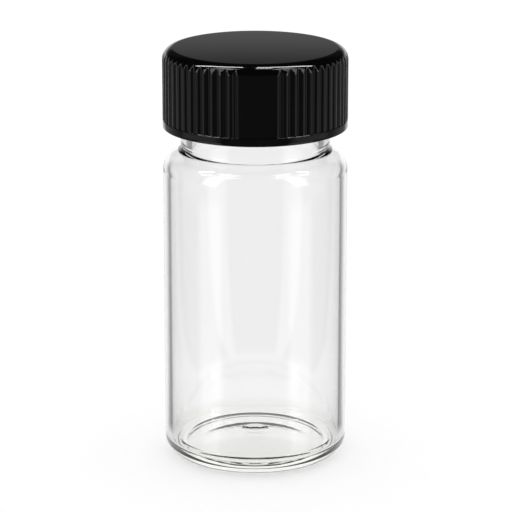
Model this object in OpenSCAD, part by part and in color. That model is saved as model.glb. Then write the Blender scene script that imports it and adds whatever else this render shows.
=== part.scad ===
// Glass sample vial with a threaded neck, a fluted screw cap and a sealing liner.
// Millimetres. The origin is the centre of the base, +Z runs up the axis, -Y is the front.

/* [Vial body] */
// Outside diameter of the body
body_d = 28; // [27:0.5:40]
// Height of the glass, from the table to the rim
vial_h = 61.4; // [35:0.1:100]
// Thickness of the body wall
body_wall = 1.1; // [0.8:0.1:1.4]

/* [Base] */
// Outer radius where the wall turns in towards the foot
heel_r = 2.8; // [2:0.1:3.5]
// Angle that the heel turns through before it runs straight to the foot
heel_turn = 69; // [50:1:75]
// How far the foot stands in from the body's side
foot_inset = 3; // [2.8:0.1:5]
// Radius that eases the foot into the heel
foot_round = 0.5; // [0.2:0.1:0.8]
// Width of the flat ring that the vial stands on
foot_land = 0.5; // [0.3:0.1:2]
// Height of the hollow under the base
push_up = 1.2; // [0.3:0.1:1.5]
// Thickness of the glass at the edge of the floor
floor_t = 2.9; // [2.2:0.1:4]
// Rise of the floor from its edge to its middle
floor_crown = 0.6; // [0.4:0.1:1.6]
// Width of the rounded groove between the floor and the wall
groove_w = 1.3; // [0.8:0.1:2]
// Angle that the groove rises through again before it meets the floor
groove_rise = 75; // [0:5:80]
// Diameter of the dimple in the middle of the floor
dimple_d = 4.2; // [2:0.1:6]
// Depth of the dimple
dimple_depth = 0.4; // [0.1:0.05:0.5]

/* [Shoulder and neck] */
// Length of the neck, from the rim down to the shoulder's blend
neck_len = 12.25; // [11.9:0.05:16]
// How far the plain neck under the thread stands in from the body's side
neck_inset = 2.7; // [2.5:0.1:4]
// Height of the plain neck
neck_ring_h = 2.8; // [1.5:0.1:3]
// How far the neck steps in to the root of the thread
root_step = 0.3; // [0.1:0.05:0.5]
// Thickness of the glass at the root of the thread
neck_wall = 1.4; // [0.8:0.1:1.8]
// Radius that eases both edges of the rim
rim_round = 0.35; // [0.1:0.05:0.4]
// Outer radius of the shoulder
shoulder_r = 3.1; // [2.4:0.1:3.4]
// Angle that the shoulder turns through before it runs straight to the neck
shoulder_turn = 60; // [50:1:65]
// Radius of the hollow between the shoulder and the neck
neck_fillet_r = 1.1; // [0.5:0.1:1.3]
// Inner radius between the shoulder and the mouth
mouth_blend_r = 0.8; // [0.6:0.1:2]

/* [Screw thread] */
// Rise of the thread in one turn
thread_pitch = 3.175; // [3:0.025:3.6]
// Height of the glass thread over its root
thread_h = 0.95; // [0.7:0.05:1.1]
// Width of the glass thread at its root
thread_root_w = 2; // [1.6:0.1:2.1]
// Width of the glass thread at its crest
thread_crest_w = 0.8; // [0.4:0.1:0.9]
// Turns of the glass thread
thread_turns = 1.3; // [1:0.1:1.5]
// Distance from the rim down to the upper end of the glass thread
thread_drop = 2.2; // [1.8:0.1:2.4]

/* [Cap] */
// Height of the cap
cap_h = 12.1; // [11:0.1:12.4]
// Thickness of the cap's top
cap_top_t = 1.5; // [1.2:0.1:2.2]
// Thickness of the skirt over the thread
skirt_t = 1.8; // [1.4:0.1:2.6]
// Radius between the cap's top and its side
cap_top_r = 1.7; // [0.8:0.1:2]
// Radius on the skirt's lower edge
cap_edge_r = 0.2; // [0.1:0.05:0.4]
// Height of the plain band under the flutes
band_h = 1.3; // [0.8:0.1:3]
// Width of one flute, which is half as deep
flute_w = 0.72; // [0.4:0.02:0.9]
// Flutes that would fit round the whole cap
flute_count = 63; // [40:1:72]
// Flutes left out for the smooth panel at the front
panel_flutes = 4; // [0:1:8]
// Turn of the smooth panel away from the front, in degrees
panel_turn = 1.7; // [-10:0.1:10]
// Width of the cap thread at its root
cap_thread_root_w = 1.5; // [1:0.1:1.6]
// Width of the cap thread at its crest
cap_thread_crest_w = 0.6; // [0.3:0.1:0.7]
// Turns of the cap thread
cap_thread_turns = 1.25; // [1:0.05:1.4]
// Distance from the skirt's edge up to the lower end of the cap thread
cap_thread_rise = 1.2; // [1.1:0.1:1.4]
// Chamfer inside the skirt's edge
lead_in = 0.4; // [0.2:0.1:0.6]

/* [Liner] */
// Thickness of the sealing liner
liner_t = 1; // [0.6:0.1:1.5]

/* [Clearances] */
// Radial gap between the glass thread and the skirt
skirt_gap = 0.25; // [0.15:0.05:0.4]
// Radial gap between the cap thread and the root of the glass thread
root_gap = 0.25; // [0.15:0.05:0.4]
// Gap between the flanks that pull the cap down
flank_gap = 0.12; // [0.08:0.02:0.2]
// Radial gap between the liner and the skirt
liner_gap = 0.1; // [0.05:0.05:0.3]

/* [Hidden] */
$fn = 144;
FLUTE_FN = 24;
// Sections of a thread in one turn
THREAD_STEPS = 36;
// Turn over which a thread fades in and out
THREAD_FADE = 30;
// Depth that a thread is rooted in its wall
ROOTING = 0.3;
// Overshoot of the cutting shapes
OVER = 1;

// Radii of the glass
body_r = body_d / 2;
bore_r = body_r - body_wall;
neck_r = body_r - neck_inset;
root_r = neck_r - root_step;
mouth_r = root_r - neck_wall;
thread_r = root_r + thread_h;
foot_r = body_r - foot_inset;

// Heel: its centre lies where the straight run touches both the heel and the foot
heel_c = [
    body_r - heel_r,
    foot_round + ((foot_inset - heel_r) * cos(heel_turn) + heel_r - foot_round) / sin(heel_turn)
];
heel_n = [cos(heel_turn), -sin(heel_turn)];
foot_c = [foot_r, foot_round];
hollow_edge_r = foot_r - foot_land;
hollow_r = cap_radius(hollow_edge_r, push_up);

// Floor: a crown inside a rounded groove, which runs into the wall without a crease
groove_r = groove_w / (1 + sin(groove_rise));
groove_c = [bore_r - groove_r, floor_t + groove_r * cos(groove_rise)];
floor_edge_r = bore_r - groove_w;
crown_z = floor_t + floor_crown;
crown_r = cap_radius(floor_edge_r, floor_crown);
dimple_r = cap_radius(dimple_d / 2, dimple_depth);

// Shoulder: worked out from the neck down, so a taller vial gets a longer wall
shoulder_n = [cos(shoulder_turn), sin(shoulder_turn)];
neck_z = vial_h - neck_len;
fillet_c = [neck_r + neck_fillet_r, neck_z];
shoulder_c_r = body_r - shoulder_r;
shoulder_z = neck_z
    - (shoulder_r + neck_fillet_r - (fillet_c.x - shoulder_c_r) * cos(shoulder_turn)) / sin(shoulder_turn);
shoulder_c = [shoulder_c_r, shoulder_z];
inner_shoulder_r = shoulder_r - body_wall;
blend_c = [
    mouth_r + mouth_blend_r,
    shoulder_z + (inner_shoulder_r + mouth_blend_r
        - (mouth_r + mouth_blend_r - shoulder_c_r) * cos(shoulder_turn)) / sin(shoulder_turn)
];
ring_z = neck_z + neck_ring_h;

// Glass thread
thread_z = vial_h - thread_drop - thread_turns * thread_pitch;

// Cap and liner, stacked on the rim
liner_z = vial_h;
cap_top_z = vial_h + liner_t + cap_top_t;
cap_z = cap_top_z - cap_h;
skirt_bore_r = thread_r + skirt_gap;
cap_r = skirt_bore_r + skirt_t;
cap_thread_r = root_r + root_gap;
cap_thread_h = skirt_bore_r - cap_thread_r;

// The cap thread hangs under the glass thread: their half widths where they pass, and the flank gap
function width_at(r, base_r, crest_r, base_w, crest_w) =
    base_w + (crest_w - base_w) * (r - base_r) / (crest_r - base_r);
inner_pair = width_at(cap_thread_r, root_r, thread_r, thread_root_w, thread_crest_w) + cap_thread_crest_w;
outer_pair = thread_crest_w
    + width_at(thread_r, skirt_bore_r, cap_thread_r, cap_thread_root_w, cap_thread_crest_w);
thread_hang = max(inner_pair, outer_pair) / 2 + flank_gap;
cap_thread_z = cap_z + cap_thread_rise;
cap_thread_angle = 360 * (cap_thread_z + thread_hang - thread_z) / thread_pitch;

// Radius of a shallow spherical cap from its edge radius and its height
function cap_radius(edge_r, height) = (edge_r * edge_r + height * height) / (2 * height);

// Share of a thread's full height, which fades in and out over its first and last degrees
function fade(angle, sweep) = max(0, min(1, angle / THREAD_FADE, (sweep - angle) / THREAD_FADE));

// A helical ridge with a trapezoidal section. wall_r is the wall that it stands on, crest_r its crest.
module thread_ridge(wall_r, crest_r, root_w, crest_w, turns) {
    sweep = 360 * turns;
    steps = ceil(turns * THREAD_STEPS);
    out = sign(crest_r - wall_r);
    buried_r = wall_r - out * ROOTING;
    hidden_r = wall_r - out * ROOTING / 2;
    points = [
        for (i = [0 : steps])
            let (
                a = sweep * i / steps,
                z = thread_pitch * a / 360,
                tip_r = hidden_r + (crest_r - hidden_r) * fade(a, sweep),
                half_tip = width_at(tip_r, wall_r, crest_r, root_w, crest_w) / 2,
                half_base = width_at(buried_r, wall_r, crest_r, root_w, crest_w) / 2
            )
                for (p = [[buried_r, -half_base], [tip_r, -half_tip], [tip_r, half_tip], [buried_r, half_base]])
                    [p.x * cos(a), p.x * sin(a), z + p.y]
    ];
    sides = [
        for (i = [0 : steps - 1], j = [0 : 3])
            let (a = 4 * i + j, b = 4 * i + (j + 1) % 4)
                each [[a, a + 4, b], [b, a + 4, b + 4]]
    ];
    last = 4 * steps;
    ends = [[0, 1, 2], [0, 2, 3], [last, last + 2, last + 1], [last, last + 3, last + 2]];
    faces = concat(sides, ends);
    polyhedron(points, out < 0 ? faces : [for (f = faces) [f[0], f[2], f[1]]], convexity = 6);
}

// Half section of the glass without its hollow
module vial_outside() {
    difference() {
        union() {
            polygon([
                [0, 0],
                [foot_r, 0],
                foot_c + foot_round * heel_n,
                heel_c + heel_r * heel_n,
                [body_r, heel_c.y],
                [body_r, shoulder_z],
                shoulder_c + shoulder_r * shoulder_n,
                fillet_c - neck_fillet_r * shoulder_n,
                [neck_r, neck_z],
                [neck_r, ring_z],
                [root_r, ring_z + root_step],
                [root_r, vial_h - rim_round],
                [root_r - rim_round, vial_h],
                [0, vial_h]
            ]);
            translate(foot_c) circle(foot_round);
            translate(heel_c) circle(heel_r);
            translate(shoulder_c) circle(shoulder_r);
            translate([root_r - rim_round, vial_h - rim_round]) circle(rim_round);
        }
        translate(fillet_c) circle(neck_fillet_r);
    }
}

// Half section of the space inside, from the floor out through the mouth
module vial_inside() {
    difference() {
        union() {
            polygon([
                [0, floor_t],
                [floor_edge_r, floor_t],
                [bore_r, groove_c.y],
                [bore_r, shoulder_z],
                shoulder_c + inner_shoulder_r * shoulder_n,
                blend_c - mouth_blend_r * shoulder_n,
                [mouth_r, blend_c.y],
                [mouth_r, vial_h - rim_round],
                [mouth_r + rim_round, vial_h],
                [mouth_r + rim_round, vial_h + OVER],
                [0, vial_h + OVER]
            ]);
            translate(groove_c) circle(groove_r);
            translate(shoulder_c) circle(inner_shoulder_r);
        }
        intersection() {
            translate([0, crown_z - crown_r]) circle(crown_r);
            square([floor_edge_r, crown_z + OVER]);
        }
        translate(blend_c) circle(mouth_blend_r);
        translate([mouth_r + rim_round, vial_h - rim_round]) circle(rim_round);
    }
    translate([0, crown_z - dimple_depth + dimple_r]) circle(dimple_r);
}

module right_half(height) {
    translate([0, -OVER]) square([body_d, height + 2 * OVER]);
}

module glass_vial() {
    color([0.86, 0.93, 0.92, 0.35])
    union() {
        rotate_extrude()
            difference() {
                vial_outside();
                intersection() {
                    vial_inside();
                    right_half(vial_h);
                }
                intersection() {
                    translate([0, push_up - hollow_r]) circle(hollow_r);
                    right_half(vial_h);
                }
            }
        translate([0, 0, thread_z]) thread_ridge(root_r, thread_r, thread_root_w, thread_crest_w, thread_turns);
    }
}

// Half section of the cap, from its own lower edge up
module cap_section() {
    difference() {
        union() {
            square([cap_r - cap_top_r, cap_h]);
            square([cap_r - cap_edge_r, cap_h - cap_top_r]);
            translate([0, cap_edge_r]) square([cap_r, cap_h - cap_top_r - cap_edge_r]);
            translate([cap_r - cap_top_r, cap_h - cap_top_r]) circle(cap_top_r);
            translate([cap_r - cap_edge_r, cap_edge_r]) circle(cap_edge_r);
        }
        translate([0, -OVER]) square([skirt_bore_r, cap_h - cap_top_t + OVER]);
        polygon([
            [skirt_bore_r - OVER, -OVER],
            [skirt_bore_r + lead_in + OVER, -OVER],
            [skirt_bore_r - OVER, lead_in + OVER]
        ]);
    }
}

module flutes() {
    pitch_angle = 360 / flute_count;
    first = -90 + panel_turn + pitch_angle * (panel_flutes + 1) / 2;
    for (i = [0 : flute_count - panel_flutes - 1])
        rotate(first + i * pitch_angle)
            translate([cap_r, 0, band_h]) cylinder(h = cap_h, d = flute_w, $fn = FLUTE_FN);
}

module screw_cap() {
    color([0.03, 0.03, 0.03])
    union() {
        translate([0, 0, cap_z])
            difference() {
                rotate_extrude() cap_section();
                flutes();
            }
        translate([0, 0, cap_thread_z])
            rotate(cap_thread_angle)
                thread_ridge(skirt_bore_r, cap_thread_r, cap_thread_root_w, cap_thread_crest_w, cap_thread_turns);
    }
}

module cap_liner() {
    color([0.93, 0.93, 0.9])
    translate([0, 0, liner_z]) cylinder(h = liner_t, r = skirt_bore_r - liner_gap);
}

glass_vial();
screw_cap();
cap_liner();
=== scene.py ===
import math

import bpy
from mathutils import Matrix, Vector


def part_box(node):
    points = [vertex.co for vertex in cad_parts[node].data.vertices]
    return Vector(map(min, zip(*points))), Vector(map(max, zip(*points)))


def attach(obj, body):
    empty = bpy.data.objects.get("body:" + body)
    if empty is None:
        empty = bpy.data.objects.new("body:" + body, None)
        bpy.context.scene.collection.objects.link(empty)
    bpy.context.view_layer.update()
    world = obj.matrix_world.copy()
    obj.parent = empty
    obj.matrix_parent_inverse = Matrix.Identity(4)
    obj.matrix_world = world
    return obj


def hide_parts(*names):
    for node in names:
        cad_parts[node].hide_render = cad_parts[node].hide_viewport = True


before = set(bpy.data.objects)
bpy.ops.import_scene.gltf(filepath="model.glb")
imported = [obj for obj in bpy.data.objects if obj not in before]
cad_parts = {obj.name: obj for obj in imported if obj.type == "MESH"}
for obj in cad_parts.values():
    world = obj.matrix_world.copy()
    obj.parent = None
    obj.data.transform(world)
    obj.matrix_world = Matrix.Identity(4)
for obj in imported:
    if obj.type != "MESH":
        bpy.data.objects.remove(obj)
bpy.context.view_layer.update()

bl_info = {
    "name": "Glass sample vial",
    "version": (1, 0, 0),
    "blender": (4, 5, 0),
    "location": "3D View > Sidebar > Vial",
    "description": "Models a glass sample vial with its fluted screw cap and liner, and lights it",
    "category": "Add Mesh",
}

# ---------------------------------------------------------------------------------------------
# The frame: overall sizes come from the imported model
# ---------------------------------------------------------------------------------------------

MM = 0.001
VIAL_LOW, VIAL_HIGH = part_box("glass_vial")
CAP_LOW, CAP_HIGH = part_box("screw_cap")
LINER_LOW, LINER_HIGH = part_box("cap_liner")


def length(name, description, default):
    """A length in metres, shown in the scene's units."""
    return bpy.props.FloatProperty(
        name=name, description=description, default=default, min=0.0, precision=5, unit="LENGTH"
    )


def angle(name, description, degrees):
    """An angle, given in degrees."""
    return bpy.props.FloatProperty(
        name=name, description=description, default=math.radians(degrees), subtype="ANGLE"
    )


def colour(name, description, default):
    """A colour in linear red, green and blue."""
    return bpy.props.FloatVectorProperty(
        name=name, description=description, default=default, min=0.0, max=1.0, size=3, subtype="COLOR"
    )


def factor(name, description, default):
    """A share from 0 to 1."""
    return bpy.props.FloatProperty(
        name=name, description=description, default=default, min=0.0, max=1.0, subtype="FACTOR"
    )


class GlassSettings(bpy.types.PropertyGroup):
    """Sizes and finish of the glass."""

    body_radius: length("Body radius", "Outside radius of the body", VIAL_HIGH.x)
    height: length("Height", "Height of the glass, from the table to the rim", VIAL_HIGH.z)
    wall: length("Wall", "Thickness of the body wall", 1.1 * MM)
    heel_radius: length("Heel radius", "Radius where the wall turns in towards the foot", 2.8 * MM)
    heel_turn: angle("Heel turn", "Angle that the heel turns through before it runs straight", 69)
    foot_radius: length("Foot", "Radius at which the glass first touches the table", 11.0 * MM)
    foot_round: length("Foot rounding", "Radius that eases the foot into the heel", 0.5 * MM)
    foot_land: length("Foot land", "Width of the ring that the vial stands on", 0.5 * MM)
    push_up: length("Push-up", "Height of the hollow under the base", 1.2 * MM)
    floor_thickness: length("Floor", "Thickness of the glass at the edge of the floor", 2.9 * MM)
    floor_crown: length("Crown", "Rise of the floor from its edge to its middle", 0.6 * MM)
    groove_width: length("Groove", "Width of the rounded groove between floor and wall", 1.3 * MM)
    groove_rise: angle("Groove rise", "Angle that the groove rises through again before the floor", 75)
    dimple_radius: length("Dimple radius", "Radius of the dimple in the middle of the floor", 2.1 * MM)
    dimple_depth: length("Dimple depth", "Depth of the dimple", 0.4 * MM)
    neck_length: length("Neck length", "From the rim down to the shoulder's blend", 12.25 * MM)
    neck_inset: length("Neck inset", "How far the plain neck stands in from the body's side", 2.7 * MM)
    ring_height: length("Neck ring", "Height of the plain neck under the thread", 2.8 * MM)
    root_step: length("Root step", "How far the neck steps in to the thread's root", 0.3 * MM)
    neck_wall: length("Neck wall", "Thickness of the glass at the thread's root", 1.4 * MM)
    rim_round: length("Rim rounding", "Radius that eases both edges of the rim", 0.35 * MM)
    shoulder_radius: length("Shoulder radius", "Outer radius of the shoulder", 3.1 * MM)
    shoulder_turn: angle("Shoulder turn", "Angle that the shoulder turns through", 60)
    neck_fillet: length("Neck fillet", "Radius of the hollow between shoulder and neck", 1.1 * MM)
    mouth_blend: length("Mouth blend", "Inner radius between the shoulder and the mouth", 0.8 * MM)
    thread_pitch: length("Thread pitch", "Rise of the thread in one turn", 3.175 * MM)
    thread_height: length("Thread height", "Height of the thread over its root", 0.95 * MM)
    thread_root: length("Thread root", "Width of the thread at its root", 2.0 * MM)
    thread_crest: length("Thread crest", "Width of the thread at its crest", 0.8 * MM)
    thread_round: length("Thread rounding", "Rounding along the thread's crest", 0.25 * MM)
    thread_turns: bpy.props.FloatProperty(
        name="Thread turns", description="Turns that the thread makes", default=1.3, min=0.5
    )
    thread_drop: length("Thread drop", "From the rim down to the thread's upper end", 2.2 * MM)
    tint: colour("Tint", "Colour of the thin glass", (0.985, 0.99, 0.985))
    thick_tint: colour("Thick tint", "Colour of the thick glass of the base", (0.95, 0.955, 0.925))


class CapSettings(bpy.types.PropertyGroup):
    """Sizes and finish of the screw cap."""

    radius: length("Radius", "Outside radius of the cap", CAP_HIGH.x)
    bore: length("Bore", "Inside radius of the skirt", 12.2 * MM)
    top_thickness: length("Top", "Thickness of the cap's top", 1.5 * MM)
    top_radius: length("Top radius", "Radius between the top and the side", 1.7 * MM)
    edge_radius: length("Edge radius", "Radius on the skirt's lower edge", 0.2 * MM)
    lead_in: length("Lead-in", "Chamfer inside the skirt's edge", 0.4 * MM)
    thread_pitch: length("Thread pitch", "Rise of the thread in one turn", 3.175 * MM)
    thread_height: length("Thread height", "How far the thread stands in from the skirt", 0.95 * MM)
    thread_root: length("Thread root", "Width of the thread at its root", 1.5 * MM)
    thread_crest: length("Thread crest", "Width of the thread at its crest", 0.6 * MM)
    thread_round: length("Thread rounding", "Rounding along the thread's crest", 0.15 * MM)
    thread_turns: bpy.props.FloatProperty(
        name="Thread turns", description="Turns that the thread makes", default=1.25, min=0.5
    )
    thread_rise: length("Thread rise", "From the skirt's edge up to the thread's lower end", 1.2 * MM)
    thread_start: angle("Thread start", "Where the thread's lower end lies round the cap", -91.9)
    band: length("Band", "Height of the plain band under the flutes", 1.3 * MM)
    band_edge: length("Band edge", "Rounding along the band's upper edge", 0.12 * MM)
    flute_radius: length("Flute radius", "Radius of one round-bottomed flute", 0.30 * MM)
    flute_edge: length("Flute edge", "Rounding along the edges of the flutes", 0.50 * MM)
    flutes: bpy.props.IntProperty(
        name="Flutes", description="Flutes that would fit round the whole cap", default=63, min=12
    )
    panel_flutes: bpy.props.IntProperty(
        name="Panel", description="Flutes left out for the smooth panel", default=4, min=0
    )
    panel_turn: angle("Panel turn", "Turn of the smooth panel away from the front", 1.7)
    plastic: colour("Plastic", "Colour of the moulded cap", (0.0016, 0.0016, 0.0018))


class LinerSettings(bpy.types.PropertyGroup):
    """Sizes and finish of the liner."""

    radius: length("Radius", "Radius of the liner", LINER_HIGH.x)
    edge_radius: length("Edge radius", "Rounding on the liner's edges", 0.15 * MM)
    foam: colour("Foam", "Colour of the liner", (0.86, 0.86, 0.83))


# ---------------------------------------------------------------------------------------------
# Modelling helpers
# ---------------------------------------------------------------------------------------------

ARC_STEP = math.radians(5)
FINE_STEP = ARC_STEP / 6
COARSE_STEP = 3 * ARC_STEP
FULL_TURN = 2 * math.pi
WELD = 1e-6
GUARD = 0.08 * MM
THREAD_STEPS = 90
THREAD_FADE = math.radians(30)
ROOTING = 0.3 * MM
CREST_TURNS = [math.radians(t) for t in (30, 60, 90)]


def at(radius, height):
    """A point of a half section: its distance from the axis and its height."""
    return Vector((radius, 0.0, height))


def polar(centre, radius, turn):
    """The point of a half section at one angle of a circle."""
    return centre + radius * at(math.cos(turn), math.sin(turn))


def arc(centre, radius, start, stop, step=ARC_STEP):
    """Points along an arc of a half section, from one angle to another."""
    steps = max(2, math.ceil(abs(stop - start) / step))
    return [polar(centre, radius, start + (stop - start) * i / steps) for i in range(steps + 1)]


def dome_radius(edge, height):
    """Radius of a shallow dome from the radius of its edge and its height."""
    return (edge * edge + height * height) / (2 * height)


def guarded(points):
    """Adds a point close to both ends of each long run, which keeps the run's smooth shading even."""
    line = points[:1]
    for before, after in zip(points, points[1:]):
        run = after - before
        if run.length > 4 * GUARD:
            line += [before + run * (GUARD / run.length), after - run * (GUARD / run.length)]
        line.append(after)
    return line


def draw_outline(name, points):
    """A new object with one chain of edges through the points, left in edit mode."""
    bpy.ops.object.select_all(action="DESELECT")
    bpy.ops.mesh.primitive_plane_add(size=MM)
    piece = bpy.context.object
    piece.name = piece.data.name = name
    bpy.ops.object.mode_set(mode="EDIT")
    bpy.ops.mesh.merge(type="CENTER")
    bpy.ops.transform.translate(value=points[0])
    for before, after in zip(points, points[1:]):
        bpy.ops.mesh.extrude_region_move(TRANSFORM_OT_translate={"value": after - before})
    bpy.ops.mesh.select_all(action="SELECT")
    return piece


def spin_outline(name, points, columns):
    """A closed shell, spun about the Z axis from a half section that starts and ends on it."""
    piece = draw_outline(name, points)
    bpy.ops.object.mode_set(mode="OBJECT")
    lathe = piece.modifiers.new("Lathe", "SCREW")
    lathe.angle = FULL_TURN
    lathe.steps = lathe.render_steps = columns
    lathe.use_merge_vertices = True
    lathe.merge_threshold = WELD
    bpy.ops.object.modifier_apply(modifier=lathe.name)
    bpy.ops.object.mode_set(mode="EDIT")
    bpy.ops.mesh.select_all(action="SELECT")
    bpy.ops.mesh.remove_doubles(threshold=WELD)
    bpy.ops.mesh.normals_make_consistent(inside=False)
    bpy.ops.object.mode_set(mode="OBJECT")
    return piece


def sweep_thread(name, section, wall, outward, start, turned, pitch, turns):
    """A helical ridge on a round wall, which sinks into it over its first and last part of a turn.

    section is a closed outline of points that lie at(how far out of the wall, how high).
    """
    steps = math.ceil(THREAD_STEPS * turns)
    ridge = draw_outline(name, section)
    bpy.ops.mesh.edge_face_add()
    bpy.ops.mesh.delete(type="ONLY_FACE")
    bpy.ops.object.mode_set(mode="OBJECT")
    helix = ridge.modifiers.new("Helix", "SCREW")
    helix.angle = FULL_TURN * turns
    helix.screw_offset = pitch * turns
    helix.steps = helix.render_steps = steps + 1
    bpy.ops.object.modifier_apply(modifier=helix.name)
    for vertex in ridge.data.vertices:
        step, corner = divmod(vertex.index, len(section))
        turn = FULL_TURN * turns * step / steps
        share = min(1.0, turn / THREAD_FADE, (FULL_TURN * turns - turn) / THREAD_FADE)
        out, up = section[corner].x, section[corner].z
        if out > 0:
            out = out * share - ROOTING / 2 * (1.0 - share)
        radius = wall + out * outward
        height = start + pitch * turn / FULL_TURN + up
        vertex.co = (radius * math.cos(turn + turned), radius * math.sin(turn + turned), height)
    bpy.ops.object.mode_set(mode="EDIT")
    bpy.ops.mesh.select_all(action="SELECT")
    bpy.ops.mesh.fill_holes(sides=0)
    bpy.ops.mesh.normals_make_consistent(inside=False)
    bpy.ops.object.mode_set(mode="OBJECT")
    return ridge


def union(piece, extra):
    """Joins another closed shell to the piece and takes the extra object away."""
    bpy.ops.object.select_all(action="DESELECT")
    bpy.context.view_layer.objects.active = piece
    piece.select_set(True)
    join = piece.modifiers.new("Union", "BOOLEAN")
    join.operation = "UNION"
    join.solver = "MANIFOLD"
    join.object = extra
    bpy.ops.object.modifier_apply(modifier=join.name)
    bpy.data.objects.remove(extra, do_unlink=True)


def finish_piece(piece, body, node, material, crease):
    """Shades the piece, gives it its material and hands it to the frame in place of its CAD node."""
    bpy.ops.object.select_all(action="DESELECT")
    bpy.context.view_layer.objects.active = piece
    piece.select_set(True)
    bpy.ops.object.shade_smooth_by_angle(angle=crease)
    piece.data.materials.clear()
    piece.data.materials.append(material)
    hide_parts(node)
    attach(piece, body)


# ---------------------------------------------------------------------------------------------
# Shader helpers
# ---------------------------------------------------------------------------------------------


class Wire:
    """An output socket that Python's arithmetic turns into Math nodes."""

    def __init__(self, shader, socket):
        self.shader = shader
        self.socket = socket

    def math(self, operation, *values):
        sockets = dict(enumerate(values))
        return self.shader.node("ShaderNodeMath", {"operation": operation}, sockets)

    def __add__(self, other):
        return self.math("ADD", self, other)

    def __sub__(self, other):
        return self.math("SUBTRACT", self, other)

    def __rsub__(self, other):
        return self.math("SUBTRACT", other, self)

    def __mul__(self, other):
        return self.math("MULTIPLY", self, other)

    def __gt__(self, other):
        return self.math("GREATER_THAN", self, other)

    def __or__(self, other):
        return self.math("MAXIMUM", self, other)

    __radd__ = __add__
    __rmul__ = __mul__


class Shader:
    """The node tree of one material, lamp or world."""

    def __init__(self, owner):
        owner.use_nodes = True
        self.tree = owner.node_tree
        self.tree.nodes.clear()

    def node(self, kind, settings=None, sockets=None, output=0):
        """Adds a node, sets it up, fills its sockets with values or wires, and returns one output."""
        node = self.tree.nodes.new(kind)
        for name, value in (settings or {}).items():
            setattr(node, name, value)
        for name, value in (sockets or {}).items():
            if isinstance(value, Wire):
                self.tree.links.new(value.socket, node.inputs[name])
            else:
                node.inputs[name].default_value = value
        return Wire(self, node.outputs[output])

    def place(self):
        """Where the shaded point lies on its object, in metres."""
        return self.node("ShaderNodeTexCoord", output="Object")

    def noise(self, where, size, detail=2.0, output="Fac"):
        """Soft random blotches that are about size metres across."""
        sockets = {"Vector": where, "Scale": 1.0 / size, "Detail": detail}
        return self.node("ShaderNodeTexNoise", {}, sockets, output)

    def between(self, share, low, high):
        """A value between low and high, by a share from 0 to 1."""
        return share * (high - low) + low

    def blend(self, share, first, second):
        """A colour between two colours."""
        settings = {"data_type": "RGBA"}
        return self.node("ShaderNodeMix", settings, {"Factor": share, 6: first, 7: second}, output=2)

    def bump(self, height, depth):
        """A normal that follows a height from 0 to 1, which stands for a depth in metres."""
        return self.node("ShaderNodeBump", {}, {"Height": height, "Distance": depth, "Strength": 1.0})

    def step(self, value, low, high, unit=math.pi / 180):
        """0 below one value, 1 above another, and eased in between."""
        sockets = {"Value": value, "From Min": low * unit, "From Max": high * unit}
        return self.node("ShaderNodeMapRange", {"interpolation_type": "SMOOTHSTEP"}, sockets)

    def band(self, value, start, stop, unit=math.pi / 180):
        """1 between two eased edges, each a pair of values, and 0 outside them."""
        return self.step(value, *start, unit) * (1.0 - self.step(value, *stop, unit))

    def axis(self, vector, name):
        """One coordinate of a vector, by its letter."""
        return self.node("ShaderNodeSeparateXYZ", {}, {"Vector": vector}, name)

    def ray(self, name):
        """What the Light Path node says of the ray."""
        return self.node("ShaderNodeLightPath", output=name)

    def finish(self, surface, kind="ShaderNodeOutputMaterial"):
        """Links the finished shader to the output."""
        node = self.tree.nodes.new(kind)
        self.tree.links.new(surface.socket, node.inputs["Surface"])


def rgba(value):
    """A colour with the fourth value that colour sockets take."""
    return (*value, 1.0)


REFRACTION = 1.5
THICK_BASE = (2 * MM, 5 * MM)


def clear_glass(settings):
    """Flint glass: clear, with the faint waviness that blowing leaves."""
    material = bpy.data.materials.new("clear_glass")
    shader = Shader(material)
    where = shader.place()
    waves = shader.noise(where, 6 * MM, detail=1.0)
    haze = shader.noise(where, 1.5 * MM, detail=3.0)
    thin = shader.step(shader.axis(where, "Z"), *THICK_BASE, 1.0)
    clear = shader.blend(waves, rgba(settings.tint), (1.0, 1.0, 1.0, 1.0))
    sockets = {
        "Base Color": shader.blend(thin, rgba(settings.thick_tint), clear),
        "Roughness": shader.between(haze, 0.0, 0.012),
        "IOR": REFRACTION,
        "Transmission Weight": 1.0,
        "Normal": shader.bump(waves, 0.004 * MM),
    }
    shader.finish(shader.node("ShaderNodeBsdfPrincipled", {}, sockets))
    return material


def black_plastic(settings):
    """Glossy moulded plastic with a slightly uneven skin."""
    material = bpy.data.materials.new("black_plastic")
    shader = Shader(material)
    where = shader.place()
    flow = shader.noise(where, 5 * MM, detail=2.0)
    grain = shader.noise(where, 0.35 * MM, detail=3.0)
    worn = rgba([2.0 * part for part in settings.plastic])
    sockets = {
        "Base Color": shader.blend(flow, rgba(settings.plastic), worn),
        "Roughness": shader.between(flow, 0.04, 0.08),
        "IOR": REFRACTION,
        "Normal": shader.bump(flow * 0.7 + grain * 0.3, 0.006 * MM),
    }
    shader.finish(shader.node("ShaderNodeBsdfPrincipled", {}, sockets))
    return material


def white_foam(settings):
    """The liner's closed-cell foam, with a fine grain."""
    material = bpy.data.materials.new("white_foam")
    shader = Shader(material)
    where = shader.place()
    cells = shader.node("ShaderNodeTexVoronoi", {}, {"Vector": where, "Scale": 1.0 / (0.3 * MM)})
    stain = shader.noise(where, 3 * MM)
    darker_foam = rgba([0.93 * part for part in settings.foam])
    sockets = {
        "Base Color": shader.blend(stain, rgba(settings.foam), darker_foam),
        "Roughness": shader.between(cells, 0.45, 0.6),
        "Normal": shader.bump(cells, 0.02 * MM),
    }
    shader.finish(shader.node("ShaderNodeBsdfPrincipled", {}, sockets))
    return material


# ---------------------------------------------------------------------------------------------
# Pieces
# ---------------------------------------------------------------------------------------------

GLASS_COLUMNS = 256
LINER_COLUMNS = 128
CREASE = math.radians(40)


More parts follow.
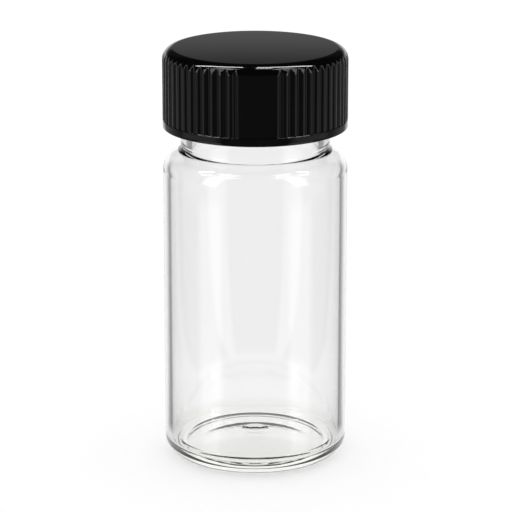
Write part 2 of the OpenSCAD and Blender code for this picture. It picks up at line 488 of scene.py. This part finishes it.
def thread_section(height, root_width, crest_width, rounding):
    """Closed outline of a ridge with rounded crests, at(how far out of the wall, how high)."""
    flank = (root_width - crest_width) / 2 / height
    tip = height - rounding
    side = crest_width / 2
    upper = [at(-ROOTING, root_width / 2 + flank * ROOTING), at(tip, side + flank * rounding)]
    for turn in CREST_TURNS:
        upper.append(at(tip + rounding * math.sin(turn), side - rounding + rounding * math.cos(turn)))
    return upper + [at(point.x, -point.z) for point in reversed(upper)]


def glass_outline(s):
    """Half section of the glass, from under the base round the outside and down inside."""
    heel = s.heel_turn
    bore = s.body_radius - s.wall
    neck = s.body_radius - s.neck_inset
    root = neck - s.root_step
    mouth = root - s.neck_wall
    heel_x = s.body_radius - s.heel_radius
    heel_rise = (heel_x - s.foot_radius) * math.cos(heel) + s.heel_radius - s.foot_round
    heel_centre = at(heel_x, s.foot_round + heel_rise / math.sin(heel))

    hollow_edge = s.foot_radius - s.foot_land
    hollow = dome_radius(hollow_edge, s.push_up)
    groove = s.groove_width / (1 + math.sin(s.groove_rise))
    groove_centre = at(bore - groove, s.floor_thickness + groove * math.cos(s.groove_rise))
    floor_edge = bore - s.groove_width
    crown_top = s.floor_thickness + s.floor_crown
    crown = dome_radius(floor_edge, s.floor_crown)
    crown_centre = at(0.0, crown_top - crown)
    crown_start = math.acos(floor_edge / crown)
    crown_stop = math.acos(s.dimple_radius / crown)
    dimple = dome_radius(s.dimple_radius, s.dimple_depth)
    dimple_centre = at(0.0, crown_top - s.dimple_depth + dimple)

    turn = s.shoulder_turn
    slope = at(math.cos(turn), math.sin(turn))
    neck_z = s.height - s.neck_length
    fillet = at(neck + s.neck_fillet, neck_z)
    shoulder_x = s.body_radius - s.shoulder_radius
    reach = s.shoulder_radius + s.neck_fillet - (fillet.x - shoulder_x) * slope.x
    shoulder = at(shoulder_x, neck_z - reach / slope.z)
    inner_shoulder = s.shoulder_radius - s.wall
    inner_reach = inner_shoulder + s.mouth_blend - (mouth + s.mouth_blend - shoulder_x) * slope.x
    blend = at(mouth + s.mouth_blend, shoulder.z + inner_reach / slope.z)
    ring_z = neck_z + s.ring_height
    rim_z = s.height - s.rim_round
    quarter = math.pi / 2
    return guarded([
        *arc(at(0.0, s.push_up - hollow), hollow, quarter, math.acos(hollow_edge / hollow), FINE_STEP),
        *arc(at(s.foot_radius, s.foot_round), s.foot_round, -quarter, -heel, ARC_STEP * 2),
        *arc(heel_centre, s.heel_radius, -heel, 0.0),
        *arc(shoulder, s.shoulder_radius, 0.0, turn),
        *arc(fillet, s.neck_fillet, math.pi + turn, math.pi),
        at(neck, ring_z),
        at(root, ring_z + s.root_step),
        *arc(at(root - s.rim_round, rim_z), s.rim_round, 0.0, quarter, COARSE_STEP),
        *arc(at(mouth + s.rim_round, rim_z), s.rim_round, quarter, math.pi, COARSE_STEP),
        *arc(blend, s.mouth_blend, math.pi, math.pi + turn),
        *arc(shoulder, inner_shoulder, turn, 0.0),
        *arc(groove_centre, groove, 0.0, -quarter - s.groove_rise),
        *arc(crown_centre, crown, crown_start, crown_stop, FINE_STEP)[1:],
        *arc(dimple_centre, dimple, math.asin(s.dimple_radius / dimple) - quarter, -quarter)[1:],
    ])


class VIAL_OT_glass(bpy.types.Operator):
    """Blow the glass: one closed shell from the foot to the rim, with the thread on its neck"""

    bl_idname = "vial.glass"
    bl_label = "Glass vial"
    bl_options = {"REGISTER", "UNDO"}

    def execute(self, context):
        s = context.scene.vial_glass
        piece = spin_outline("vial_glass", glass_outline(s), GLASS_COLUMNS)
        root = s.body_radius - s.neck_inset - s.root_step
        start = s.height - s.thread_drop - s.thread_turns * s.thread_pitch
        section = thread_section(s.thread_height, s.thread_root, s.thread_crest, s.thread_round)
        thread = sweep_thread("thread", section, root, 1, start, 0.0, s.thread_pitch, s.thread_turns)
        union(piece, thread)
        finish_piece(piece, "vial", "glass_vial", clear_glass(s), CREASE)
        return {"FINISHED"}


FLUTE_COLUMNS = 20
LEDGE = 0.01 * MM
CAP_STEP = math.radians(3)
CAP_CREASE = math.radians(50)


def cap_outline(s):
    """Half section of the cap, from under its top round the skirt and over the top."""
    quarter = math.pi / 2
    bottom, top = CAP_LOW.z, CAP_HIGH.z
    band_top = bottom + s.band
    inner_top = top - s.top_thickness
    edge_centre = at(s.radius - s.edge_radius, bottom + s.edge_radius)
    band_centre = at(s.radius - s.band_edge, band_top - s.band_edge)
    return [
        at(0.0, inner_top),
        at(s.bore, inner_top),
        at(s.bore, bottom + s.lead_in),
        at(s.bore + s.lead_in, bottom),
        *arc(edge_centre, s.edge_radius, -quarter, 0.0, COARSE_STEP),
        *arc(band_centre, s.band_edge, 0.0, quarter, 4 * ARC_STEP),
        at(s.radius, band_top + LEDGE),
        *arc(at(s.radius - s.top_radius, top - s.top_radius), s.top_radius, 0.0, quarter, CAP_STEP),
        at(0.0, top),
    ]


class VIAL_OT_cap(bpy.types.Operator):
    """Mould the screw cap: a spun shell with the flutes pressed into its side"""

    bl_idname = "vial.cap"
    bl_label = "Screw cap"
    bl_options = {"REGISTER", "UNDO"}

    def execute(self, context):
        s = context.scene.vial_cap
        piece = spin_outline("cap_shell", cap_outline(s), s.flutes * FLUTE_COLUMNS)
        press_flutes(piece, s)
        section = thread_section(s.thread_height, s.thread_root, s.thread_crest, s.thread_round)
        start = CAP_LOW.z + s.thread_rise
        turned, pitch = s.thread_start, s.thread_pitch
        union(piece, sweep_thread("ridge", section, s.bore, -1, start, turned, pitch, s.thread_turns))
        finish_piece(piece, "cap", "screw_cap", black_plastic(s), CAP_CREASE)
        return {"FINISHED"}


def flute_depth(across, s):
    """Depth of a flute at a distance from its middle: a round bottom with eased edges."""
    edge = math.sqrt(s.flute_radius**2 + 2 * s.flute_radius * s.flute_edge)
    meet = edge * s.flute_radius / (s.flute_radius + s.flute_edge)
    if across < meet:
        return math.sqrt(s.flute_radius**2 - across**2)
    if across < edge:
        return s.flute_edge - math.sqrt(s.flute_edge**2 - (edge - across) ** 2)
    return 0.0


def eased_minimum(a, b, ease):
    """The smaller of two values, with the corner between them rounded off."""
    near = max(ease - abs(a - b), 0.0) / ease
    return min(a, b) - near * near * ease / 4


def press_flutes(piece, s):
    """Draws the skin of the cap in along every flute, from the band up through the top's edge."""
    pitch = FULL_TURN / s.flutes
    first = s.panel_turn - math.pi / 2 + pitch * (s.panel_flutes + 1) / 2
    band_top = CAP_LOW.z + s.band
    for vertex in piece.data.vertices:
        x, y, z = vertex.co
        radius = math.hypot(x, y)
        if radius < s.radius - s.top_radius or z < band_top - s.band_edge / 2:
            continue
        step = (math.atan2(y, x) - first) / pitch % s.flutes
        if round(step) > s.flutes - s.panel_flutes - 1 and round(step) != s.flutes:
            continue
        depth = flute_depth(abs(step - round(step)) * pitch * s.radius, s)
        if z < band_top + LEDGE / 2:
            ease = s.band_edge
            rise = min(ease, max(0.0, z - band_top + ease))
            depth = min(depth, ease - math.sqrt(max(0.0, ease**2 - rise**2)))
        pressed = eased_minimum(radius, s.radius - depth, s.band_edge) if depth > 0 else radius
        vertex.co.x *= pressed / radius
        vertex.co.y *= pressed / radius


class VIAL_OT_liner(bpy.types.Operator):
    """Punch the liner: a soft disc with eased edges"""

    bl_idname = "vial.liner"
    bl_label = "Liner"
    bl_options = {"REGISTER", "UNDO"}

    def execute(self, context):
        s = context.scene.vial_liner
        quarter = math.pi / 2
        low, high = LINER_LOW.z, LINER_HIGH.z
        inner = s.radius - s.edge_radius
        outline = [
            at(0.0, low),
            *arc(at(inner, low + s.edge_radius), s.edge_radius, -quarter, 0.0, COARSE_STEP),
            *arc(at(inner, high - s.edge_radius), s.edge_radius, 0.0, quarter, COARSE_STEP),
            at(0.0, high),
        ]
        piece = spin_outline("liner_disc", outline, LINER_COLUMNS)
        finish_piece(piece, "liner", "cap_liner", white_foam(s), CREASE)
        return {"FINISHED"}


# ---------------------------------------------------------------------------------------------
# Stage
# ---------------------------------------------------------------------------------------------


SENSOR = 36.0

# Softboxes: name, place, point aimed at, width, height and brightness, where 1 is white.
SIDE_PLACE, SIDE_TARGET, SIDE_SIZE, SIDE_LIGHT = (0.42, -0.26, 0.26), (0, 0, 0.05), (0.20, 0.60), 2.2
OVER_GAPS = {-1: 0.055, 1: 0.005}
OVER_BACK, OVER_SIZE, OVER_LIGHT = 0.04, (0.45, 0.05), 20.0
FRONT_PLACE, FRONT_TARGET, FRONT_SIZE, FRONT_LIGHT = (0.20, -0.12), (0.1, -0.05), (0.16, 0.12), 4.0
SPOT_PLACE, SPOT_SIZE, SPOT_LIGHT = (0.05, -0.07), (0.09, 0.03), 20.0
LAMP_HEIGHT = 0.5

# What a mirror sees, by the angle in degrees from straight behind the vial: each edge is eased. The
# screen and the flag are painted dark, not objects.
SCREEN_EDGE, SCREEN_LOSS = (22, 38), 0.7
FLAG_EDGE, FLAG_LOSS = (45, 100), 0.8

# The floor and the painted reflections that mirrors see in it, with distances in metres and angles in
# degrees.
FLOOR_SIZE = 6.0
NEAR_EDGE = (0.16, 0.19)
# Painted reflections: a bright patch right under the vial, glowing strips beside it in place of light
# cards, and fainter strips farther out.
UNDER_EDGE = (0.016, 0.028)
CARD_CENTRE = (7 * MM, 12 * MM)
CARD_START, CARD_STOP, CARD_LIGHT = (38, 48), (72, 82), 0.9
FILL_START, FILL_STOP, FILL_LIGHT = (70, 90), (125, 145), 0.4
FLOOR_INSET = 14 * MM
PAPER_GRAIN = 2 * MM
PAPER_TONES = (0.61, 0.64)

# The world, by the height of a direction from 0 to 1.
WALL_LOWER, LOWER_LOSS = (0.09, 0.17), 0.78
WALL_UPPER, UPPER_LOSS = (0.17, 0.27), 0.2
CEILING_EDGE, CEILING_LOSS = (0.4, 0.6), 0.95
SOFT_LIGHT = 0.85


class StageSettings(bpy.types.PropertyGroup):
    """Camera and light."""

    distance: length("Distance", "From the camera to its target", 413.632 * MM)
    elevation: angle("Elevation", "Angle of the camera above the table", 16.063)
    target: length("Target", "Height that the camera looks at", 31.287 * MM)
    lens: bpy.props.FloatProperty(
        name="Lens", description="Focal length in millimetres", default=189.84, min=1.0
    )
    shift: bpy.props.FloatProperty(
        name="Shift", description="Sideways shift of the lens", default=0.00146, precision=5
    )
    floor: factor("Floor", "Brightness of the floor that is its own", 0.505)


def add_camera(s):
    """The camera, level with its target's axis and looking down at it."""
    bpy.ops.object.camera_add()
    camera = bpy.context.object
    camera.name = "camera"
    camera.data.lens = s.lens
    camera.data.sensor_width = SENSOR
    camera.data.shift_x = s.shift
    camera.data.clip_start = 0.01
    camera.data.clip_end = 20.0
    out = s.distance * math.cos(s.elevation)
    up = s.target + s.distance * math.sin(s.elevation)
    camera.location = (0.0, -out, up)
    camera.rotation_euler = (math.pi / 2 - s.elevation, 0.0, 0.0)
    bpy.context.scene.camera = camera


def aim(thing, target):
    """Turns a lamp towards a point."""
    thing.rotation_mode = "QUATERNION"
    thing.rotation_quaternion = (Vector(target) - thing.location).to_track_quat("-Z", "Y")


def add_softbox(name, place, target, width, height, brightness):
    """A rectangular lamp whose face has the given brightness."""
    bpy.ops.object.light_add(type="AREA", location=place)
    lamp = bpy.context.object
    lamp.name = name
    lamp.data.shape = "RECTANGLE"
    lamp.data.size = width
    lamp.data.size_y = height
    lamp.data.energy = brightness * math.pi * width * height
    aim(lamp, target)
    lamp.visible_camera = False
    lamp.visible_diffuse = False


def add_lamps():
    """Softboxes at both sides, overhead and over the front, and one small spot overhead."""
    x, y, z = SIDE_PLACE
    for side in (-1, 1):
        add_softbox("softbox", (x * side, y, z), SIDE_TARGET, *SIDE_SIZE, SIDE_LIGHT)
        middle = side * (OVER_GAPS[side] + OVER_SIZE[0] / 2)
        over, below = (middle, OVER_BACK, LAMP_HEIGHT), (middle, OVER_BACK, 0.0)
        add_softbox("overhead", over, below, *OVER_SIZE, OVER_LIGHT)
        over = (FRONT_PLACE[0] * side, FRONT_PLACE[1], LAMP_HEIGHT)
        below = (FRONT_TARGET[0] * side, FRONT_TARGET[1], 0.0)
        add_softbox("front overhead", over, below, *FRONT_SIZE, FRONT_LIGHT)
    add_softbox("spot", (*SPOT_PLACE, LAMP_HEIGHT), (*SPOT_PLACE, 0.0), *SPOT_SIZE, SPOT_LIGHT)


def light_rays(shader):
    """Masks for the rays that see the studio in a mirror, through glass alone, and directly."""
    bounced = shader.ray("Diffuse Depth") > 0.5
    mirrored = shader.ray("Glossy Depth") > 0.5
    indirect = (shader.ray("Is Transmission Ray") | shader.ray("Is Glossy Ray")) * (1.0 - bounced)
    return indirect * mirrored, indirect * (1.0 - mirrored), shader.ray("Is Camera Ray")


def studio(shader, side, back):
    """Brightness that a mirror finds in one direction: white behind the vial and painted dark before
    it, where no screen or flag stands.
    """
    off = side.math("ARCTAN2", side | 0.0, back)
    screen = 1.0 - SCREEN_LOSS * shader.step(off, *SCREEN_EDGE)
    flag = 1.0 - FLAG_LOSS * shader.step(off, *FLAG_EDGE)
    return screen * flag


def floor_material(s):
    """Pale paper, which mirrors and glass see as a painted studio of their own: glass sees plain white,
    and mirrors see painted reflections, white behind the vial and dark before it, with glowing strips
    in place of light cards.
    """
    material = bpy.data.materials.new("pale_floor")
    shader = Shader(material)
    where = shader.place()
    away = shader.node("ShaderNodeVectorMath", {"operation": "LENGTH"}, {0: where}, "Value")
    x, y = shader.axis(where, "X"), shader.axis(where, "Y")
    side = x.math("ABSOLUTE", x)
    near = 1.0 - shader.step(away, *NEAR_EDGE, 1.0)
    # Painted reflection: mirrors see the floor bright right under the vial.
    under = 1.0 - shader.step(away, *UNDER_EDGE, 1.0)
    # Painted reflection: a glowing strip at each side near the vial, in place of a light card.
    turn = side.math("ARCTAN2", side - CARD_CENTRE[0], (y + CARD_CENTRE[1]) * -1.0)
    painted_card_glow = shader.band(turn, CARD_START, CARD_STOP) * near * CARD_LIGHT
    # Painted reflection: a fainter glowing strip at each side farther out.
    off = side.math("ARCTAN2", side, y)
    fill = shader.band(off, FILL_START, FILL_STOP) * FILL_LIGHT * (1.0 - near)
    # Painted dark before the vial, lifted by the painted strips and the bright patch under it.
    mirror = studio(shader, side - FLOOR_INSET, y) | painted_card_glow | fill | under

    mirrored, through, camera = light_rays(shader)
    dark, light = (rgba([tone] * 3) for tone in PAPER_TONES)
    paper = shader.blend(shader.noise(where, PAPER_GRAIN), dark, light)
    matt = shader.node("ShaderNodeBsdfDiffuse", {}, {"Color": paper})
    glow = shader.node("ShaderNodeEmission", {}, {"Strength": camera * s.floor})
    lit = shader.node("ShaderNodeAddShader", {}, {0: matt, 1: glow})
    # Mirrors see the painted reflection and glass sees plain white, in place of the lit paper.
    seen = shader.node("ShaderNodeEmission", {}, {"Strength": mirrored * mirror + through})
    shader.finish(shader.node("ShaderNodeMixShader", {}, {0: mirrored | through, 1: lit, 2: seen}))
    return material


def studio_world():
    """A white surround, which mirrors see with a dark front and ceiling."""
    world = bpy.data.worlds.new("studio")
    shader = Shader(world)
    where = shader.node("ShaderNodeTexCoord", output="Generated")
    x, y, z = (shader.axis(where, name) for name in "XYZ")
    inside = shader.ray("Transmission Depth") > 0.5
    wall = LOWER_LOSS * shader.step(z, *WALL_LOWER, 1.0) + UPPER_LOSS * shader.step(z, *WALL_UPPER, 1.0)
    ceiling = 1.0 - CEILING_LOSS * shader.step(z, *CEILING_EDGE, 1.0)
    sweep = (1.0 - (1.0 - inside) * wall) * ceiling
    mirror = studio(shader, x.math("ABSOLUTE", x), y) * sweep

    mirrored, through, camera = light_rays(shader)
    straight = camera | through
    strength = straight + mirrored * mirror + (1.0 - straight - mirrored) * SOFT_LIGHT
    sockets = {"Color": (1, 1, 1, 1), "Strength": strength}
    shader.finish(shader.node("ShaderNodeBackground", {}, sockets), "ShaderNodeOutputWorld")
    return world


class VIAL_OT_stage(bpy.types.Operator):
    """Set the camera, the pale floor and the soft light"""

    bl_idname = "vial.stage"
    bl_label = "Stage"
    bl_options = {"REGISTER", "UNDO"}

    def execute(self, context):
        s = context.scene.vial_stage
        add_camera(s)
        bpy.ops.object.select_all(action="DESELECT")
        bpy.ops.mesh.primitive_plane_add(size=FLOOR_SIZE)
        floor = context.object
        floor.name = "floor"
        floor.data.materials.append(floor_material(s))
        add_lamps()
        context.scene.world = studio_world()
        context.scene.view_settings.view_transform = "Standard"
        return {"FINISHED"}


# ---------------------------------------------------------------------------------------------
# Panel and registration
# ---------------------------------------------------------------------------------------------


class VIAL_PT_panel(bpy.types.Panel):
    """Lists the pieces of the vial and their settings"""

    bl_idname = "VIAL_PT_panel"
    bl_label = "Sample vial"
    bl_space_type = "VIEW_3D"
    bl_region_type = "UI"
    bl_category = "Vial"

    def draw(self, context):
        for operator in OPERATORS:
            self.layout.operator(operator.bl_idname)
        for name in SETTINGS:
            settings = getattr(context.scene, name)
            box = self.layout.box()
            for key in settings.bl_rna.properties.keys():
                if key not in ("rna_type", "name"):
                    box.prop(settings, key)


OPERATORS = (VIAL_OT_glass, VIAL_OT_cap, VIAL_OT_liner, VIAL_OT_stage)
SETTINGS = {
    "vial_glass": GlassSettings,
    "vial_cap": CapSettings,
    "vial_liner": LinerSettings,
    "vial_stage": StageSettings,
}


def register():
    for kind in (*SETTINGS.values(), *OPERATORS, VIAL_PT_panel):
        bpy.utils.register_class(kind)
    for name, kind in SETTINGS.items():
        setattr(bpy.types.Scene, name, bpy.props.PointerProperty(type=kind))


def unregister():
    for name in SETTINGS:
        delattr(bpy.types.Scene, name)
    for kind in reversed((*SETTINGS.values(), *OPERATORS, VIAL_PT_panel)):
        bpy.utils.unregister_class(kind)


def main():
    register()
    bpy.ops.vial.glass()
    bpy.ops.vial.cap()
    bpy.ops.vial.liner()
    bpy.ops.vial.stage()


if __name__ == "__main__":
    main()
